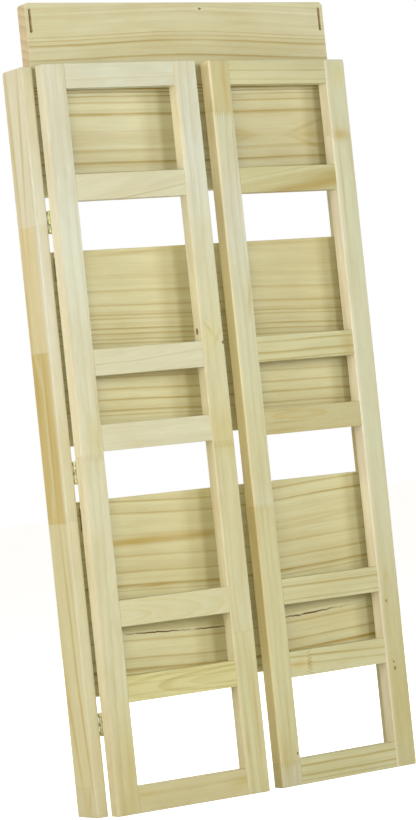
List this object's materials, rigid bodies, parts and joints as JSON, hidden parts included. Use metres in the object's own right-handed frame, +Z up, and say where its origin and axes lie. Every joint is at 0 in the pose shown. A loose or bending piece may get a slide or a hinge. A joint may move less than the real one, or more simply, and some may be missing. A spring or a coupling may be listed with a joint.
{
  "type": "folding bookcase",
  "caption": "Open-backed pine folding bookcase, folded flat: slatted side frames hinged to slim posts in front of shelves that stand on edge and drop forward when it is set up.",
  "frame": {"origin": "on the floor under the middle of the folded bookcase", "axes": "+Z up along the posts, +X to the right and +Y to the back, so the side frames face -Y"},
  "size_m": [0.5164, 0.083, 1.0495],
  "materials": {
    "pine": "bare sanded pine, unfinished",
    "shelf_pine": "bare sanded edge-glued pine, unfinished",
    "back_pine": "bare sanded pine, unfinished",
    "beech": "bare turned dowel",
    "brass": "thin bright brass plate on steel",
    "steel": "bright zinc plate"
  },
  "bodies": {
    "back_frame": {"left_post": "pine", "right_post": "pine", "lower_back_rail": "back_pine", "middle_back_rail": "back_pine", "upper_back_rail": "back_pine", "back_rail_dowels": "beech", "lower_pivot_pins": "steel", "middle_pivot_pins": "steel", "upper_pivot_pins": "steel", "left_lower_post_leaf": "brass", "left_middle_post_leaf": "brass", "left_upper_post_leaf": "brass", "right_lower_post_leaf": "brass", "right_middle_post_leaf": "brass", "right_upper_post_leaf": "brass", "left_hinge_pins": "brass", "right_hinge_pins": "brass", "left_post_screws": "brass", "right_post_screws": "brass"},
    "left_side_frame": {"left_hinge_stile": "pine", "left_free_stile": "pine", "left_bottom_rail": "pine", "left_lower_shelf_rail": "pine", "left_lower_middle_rail": "pine", "left_middle_shelf_rail": "pine", "left_upper_middle_rail": "pine", "left_upper_shelf_rail": "pine", "left_top_rail": "pine", "left_frame_dowels": "beech", "left_lower_bracket": "steel", "left_middle_bracket": "steel", "left_upper_bracket": "steel", "left_bracket_screws": "steel", "left_lower_frame_leaf": "brass", "left_middle_frame_leaf": "brass", "left_upper_frame_leaf": "brass", "left_frame_screws": "brass"},
    "right_side_frame": {"right_hinge_stile": "pine", "right_free_stile": "pine", "right_bottom_rail": "pine", "right_lower_shelf_rail": "pine", "right_lower_middle_rail": "pine", "right_middle_shelf_rail": "pine", "right_upper_middle_rail": "pine", "right_upper_shelf_rail": "pine", "right_top_rail": "pine", "right_frame_dowels": "beech", "right_lower_bracket": "steel", "right_middle_bracket": "steel", "right_upper_bracket": "steel", "right_bracket_screws": "steel", "right_lower_frame_leaf": "brass", "right_middle_frame_leaf": "brass", "right_upper_frame_leaf": "brass", "right_frame_screws": "brass"},
    "lower_shelf": {"lower_shelf": "shelf_pine"},
    "middle_shelf": {"middle_shelf": "shelf_pine"},
    "upper_shelf": {"upper_shelf": "shelf_pine"}
  },
  "joints": [
    {"name": "left_frame_swing", "type": "hinge", "parent": "back_frame", "child": "left_side_frame", "pos_m": [-0.2392, -0.00777, 0.4825], "axis": [0, 0, -1], "range_deg": [-3.2, 86.8]},
    {"name": "right_frame_swing", "type": "hinge", "parent": "back_frame", "child": "right_side_frame", "pos_m": [0.2392, -0.00777, 0.4825], "axis": [0, 0, 1], "range_deg": [-2, 88]},
    {"name": "lower_shelf_drop", "type": "hinge", "parent": "back_frame", "child": "lower_shelf", "pos_m": [0, 0.01053, 0.1625], "axis": [1, 0, 0], "range_deg": [0, 3]},
    {"name": "middle_shelf_drop", "type": "hinge", "parent": "back_frame", "child": "middle_shelf", "pos_m": [0, 0.01053, 0.4855], "axis": [1, 0, 0], "range_deg": [0, 3]},
    {"name": "upper_shelf_drop", "type": "hinge", "parent": "back_frame", "child": "upper_shelf", "pos_m": [0, 0.01053, 0.8085], "axis": [1, 0, 0], "range_deg": [0, 3]}
  ]
}
